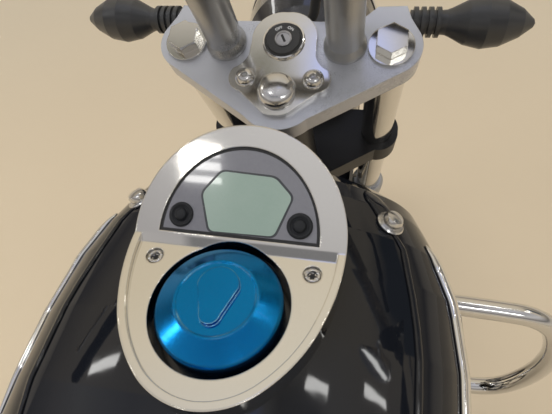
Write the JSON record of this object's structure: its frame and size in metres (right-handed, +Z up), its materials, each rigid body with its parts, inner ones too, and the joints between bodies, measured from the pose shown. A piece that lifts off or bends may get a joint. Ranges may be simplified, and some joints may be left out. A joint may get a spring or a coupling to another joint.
{
  "type": "cruiser motorcycle",
  "caption": "Cruiser motorcycle with a raked fork, teardrop tank with chrome console and instrument, V-twin engine, stepped seats and shaft drive, on its centre stand.",
  "frame": {"origin": "centre of the footprint on the floor, under the middle of the overall length", "axes": "+X to the rider's right, +Y forward, +Z up"},
  "size_m": [0.971, 2.3646, 1.3163],
  "materials": {
    "tyre": "black road tyre rubber",
    "casting": "satin cast aluminium",
    "disc": "ground stainless steel",
    "silver_paint": "silver paint with a slight lilac tint",
    "black_paint": "deep gloss black paint",
    "frame_paint": "gloss black powder coat",
    "chrome": "bright chrome plate",
    "switch_black": "black plastic",
    "rubber": "black rubber",
    "mirror": "mirror glass",
    "lens": "clear lamp glass",
    "amber": "amber lens",
    "red_lens": "red lens",
    "satin_grey": "satin grey coat",
    "dial": "greenish grey display under clear plastic",
    "cap_blue": "blue anodised metal",
    "engine_metal": "cast engine metal",
    "seat_cover": "black padded vinyl",
    "plate_blank": "blank white plate",
    "fork_chrome": "hard chromed tube"
  },
  "bodies": {
    "chassis": {"fuel_tank": "black_paint", "tank_console": "chrome", "instrument": "dial", "frame": "frame_paint", "swingarm": "frame_paint", "rear_shocks": "chrome", "engine_case": "engine_metal", "engine_cylinders": "engine_metal", "engine_covers": "chrome", "exhaust": "chrome", "rider_seat": "seat_cover", "passenger_seat": "seat_cover", "rear_fender": "black_paint", "fender_struts": "chrome", "rear_lamps": "red_lens", "plate_bracket": "plate_blank", "foot_controls": "rubber", "engine_guard": "chrome", "side_covers": "black_paint"},
    "front_wheel": {"front_tyre": "tyre", "front_wheel_casting": "casting", "front_brake_disc": "disc"},
    "rear_wheel": {"rear_tyre": "tyre", "rear_wheel_casting": "casting"},
    "cap": {"filler_cap": "cap_blue"},
    "main_stand": {"centre_stand": "frame_paint"},
    "prop_stand": {"side_stand": "frame_paint"},
    "steering": {"upper_yoke": "silver_paint", "lower_yoke": "frame_paint", "yoke_fittings": "chrome", "ignition_switch": "switch_black", "fork_tubes": "fork_chrome", "fork_sliders": "casting", "front_axle": "disc", "front_caliper": "casting", "front_fender": "black_paint", "handlebar": "satin_grey", "grips": "rubber", "switch_housings": "switch_black", "hand_levers": "chrome", "mirrors": "chrome", "headlamp_shell": "black_paint", "headlamp_lens": "lens", "front_signals": "black_paint", "brake_hose": "rubber"}
  },
  "joints": [
    {"name": "steering_turn", "type": "hinge", "parent": "chassis", "child": "steering", "pos_m": [0, 0.4224, 0.91701], "axis": [0, -0.5075, 0.8616], "range_deg": [-38, 38]},
    {"name": "front_wheel_spin", "type": "hinge", "parent": "steering", "child": "front_wheel", "pos_m": [0, 0.83968, 0.315], "axis": [1, 0, 0], "continuous": true},
    {"name": "rear_wheel_spin", "type": "hinge", "parent": "chassis", "child": "rear_wheel", "pos_m": [0, -0.78032, 0.336], "axis": [1, 0, 0], "continuous": true},
    {"name": "cap_lift", "type": "slide", "parent": "chassis", "child": "cap", "axis": [0, -0.0698, 0.9976], "range_m": [0, 0.08]},
    {"name": "main_stand_fold", "type": "hinge", "parent": "chassis", "child": "main_stand", "pos_m": [0, -0.18032, 0.215], "axis": [1, 0, 0], "range_deg": [-78, 0]},
    {"name": "prop_stand_fold", "type": "hinge", "parent": "chassis", "child": "prop_stand", "pos_m": [-0.151, 0.03468, 0.236], "axis": [0.9659, 0, -0.2588], "range_deg": [0, 95]}
  ]
}
